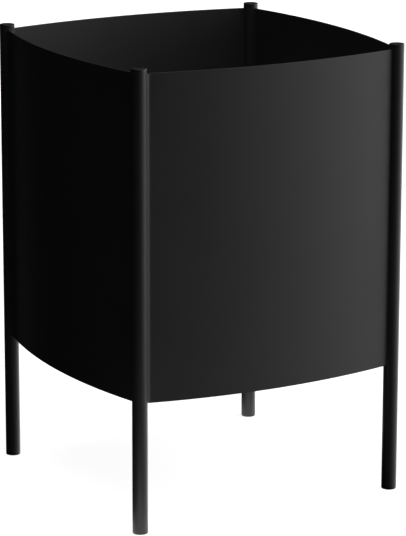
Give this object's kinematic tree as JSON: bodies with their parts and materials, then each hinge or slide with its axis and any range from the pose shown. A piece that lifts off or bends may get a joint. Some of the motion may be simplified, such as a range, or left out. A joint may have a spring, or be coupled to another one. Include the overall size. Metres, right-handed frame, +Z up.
{
  "type": "litter and ash bin",
  "caption": "Open-topped square litter bin with bowed black steel panels between tube legs, a screwed floor and a lift-out steel liner with drop handles.",
  "frame": {"origin": "on the ground, midway between the four legs", "axes": "+Z up, +Y from the front panel to the back panel, +X from the left panel to the right panel"},
  "size_m": [0.452, 0.452, 0.64],
  "materials": {
    "coated_steel": "satin black powder coat",
    "black_plastic": "moulded polyethylene",
    "black_rubber": "moulded rubber",
    "galvanised_steel": "hot-dip galvanised sheet",
    "zinc_plated_steel": "bright zinc plate",
    "aluminium": "drawn rivet, plain"
  },
  "bodies": {
    "casing": {"leg_front_left": "coated_steel", "cap_front_left": "black_plastic", "glide_front_left": "black_plastic", "lug_front_left": "coated_steel", "buffer_front_left": "black_rubber", "leg_front_right": "coated_steel", "cap_front_right": "black_plastic", "glide_front_right": "black_plastic", "lug_front_right": "coated_steel", "buffer_front_right": "black_rubber", "leg_back_right": "coated_steel", "cap_back_right": "black_plastic", "glide_back_right": "black_plastic", "lug_back_right": "coated_steel", "buffer_back_right": "black_rubber", "leg_back_left": "coated_steel", "cap_back_left": "black_plastic", "glide_back_left": "black_plastic", "lug_back_left": "coated_steel", "buffer_back_left": "black_rubber", "panel_front": "coated_steel", "panel_right": "coated_steel", "panel_back": "coated_steel", "panel_left": "coated_steel", "floor_plate": "coated_steel", "floor_screws": "zinc_plated_steel", "floor_nuts": "zinc_plated_steel"},
    "liner": {"liner_walls": "galvanised_steel", "liner_base": "galvanised_steel", "liner_rim": "galvanised_steel", "clip_left_front": "zinc_plated_steel", "clip_left_back": "zinc_plated_steel", "clip_right_front": "zinc_plated_steel", "clip_right_back": "zinc_plated_steel", "clip_rivets": "aluminium"},
    "handle_left": {"handle_left": "zinc_plated_steel"},
    "handle_right": {"handle_right": "zinc_plated_steel"}
  },
  "joints": [
    {"name": "liner_lift", "type": "slide", "parent": "casing", "child": "liner", "axis": [0, 0, 1], "range_m": [0, 0.445]},
    {"name": "left_handle_swing", "type": "hinge", "parent": "liner", "child": "handle_left", "pos_m": [-0.1897, 0, 0.489], "axis": [0, -1, 0], "range_deg": [0, 180]},
    {"name": "right_handle_swing", "type": "hinge", "parent": "liner", "child": "handle_right", "pos_m": [0.1897, 0, 0.489], "axis": [0, 1, 0], "range_deg": [0, 180]}
  ]
}
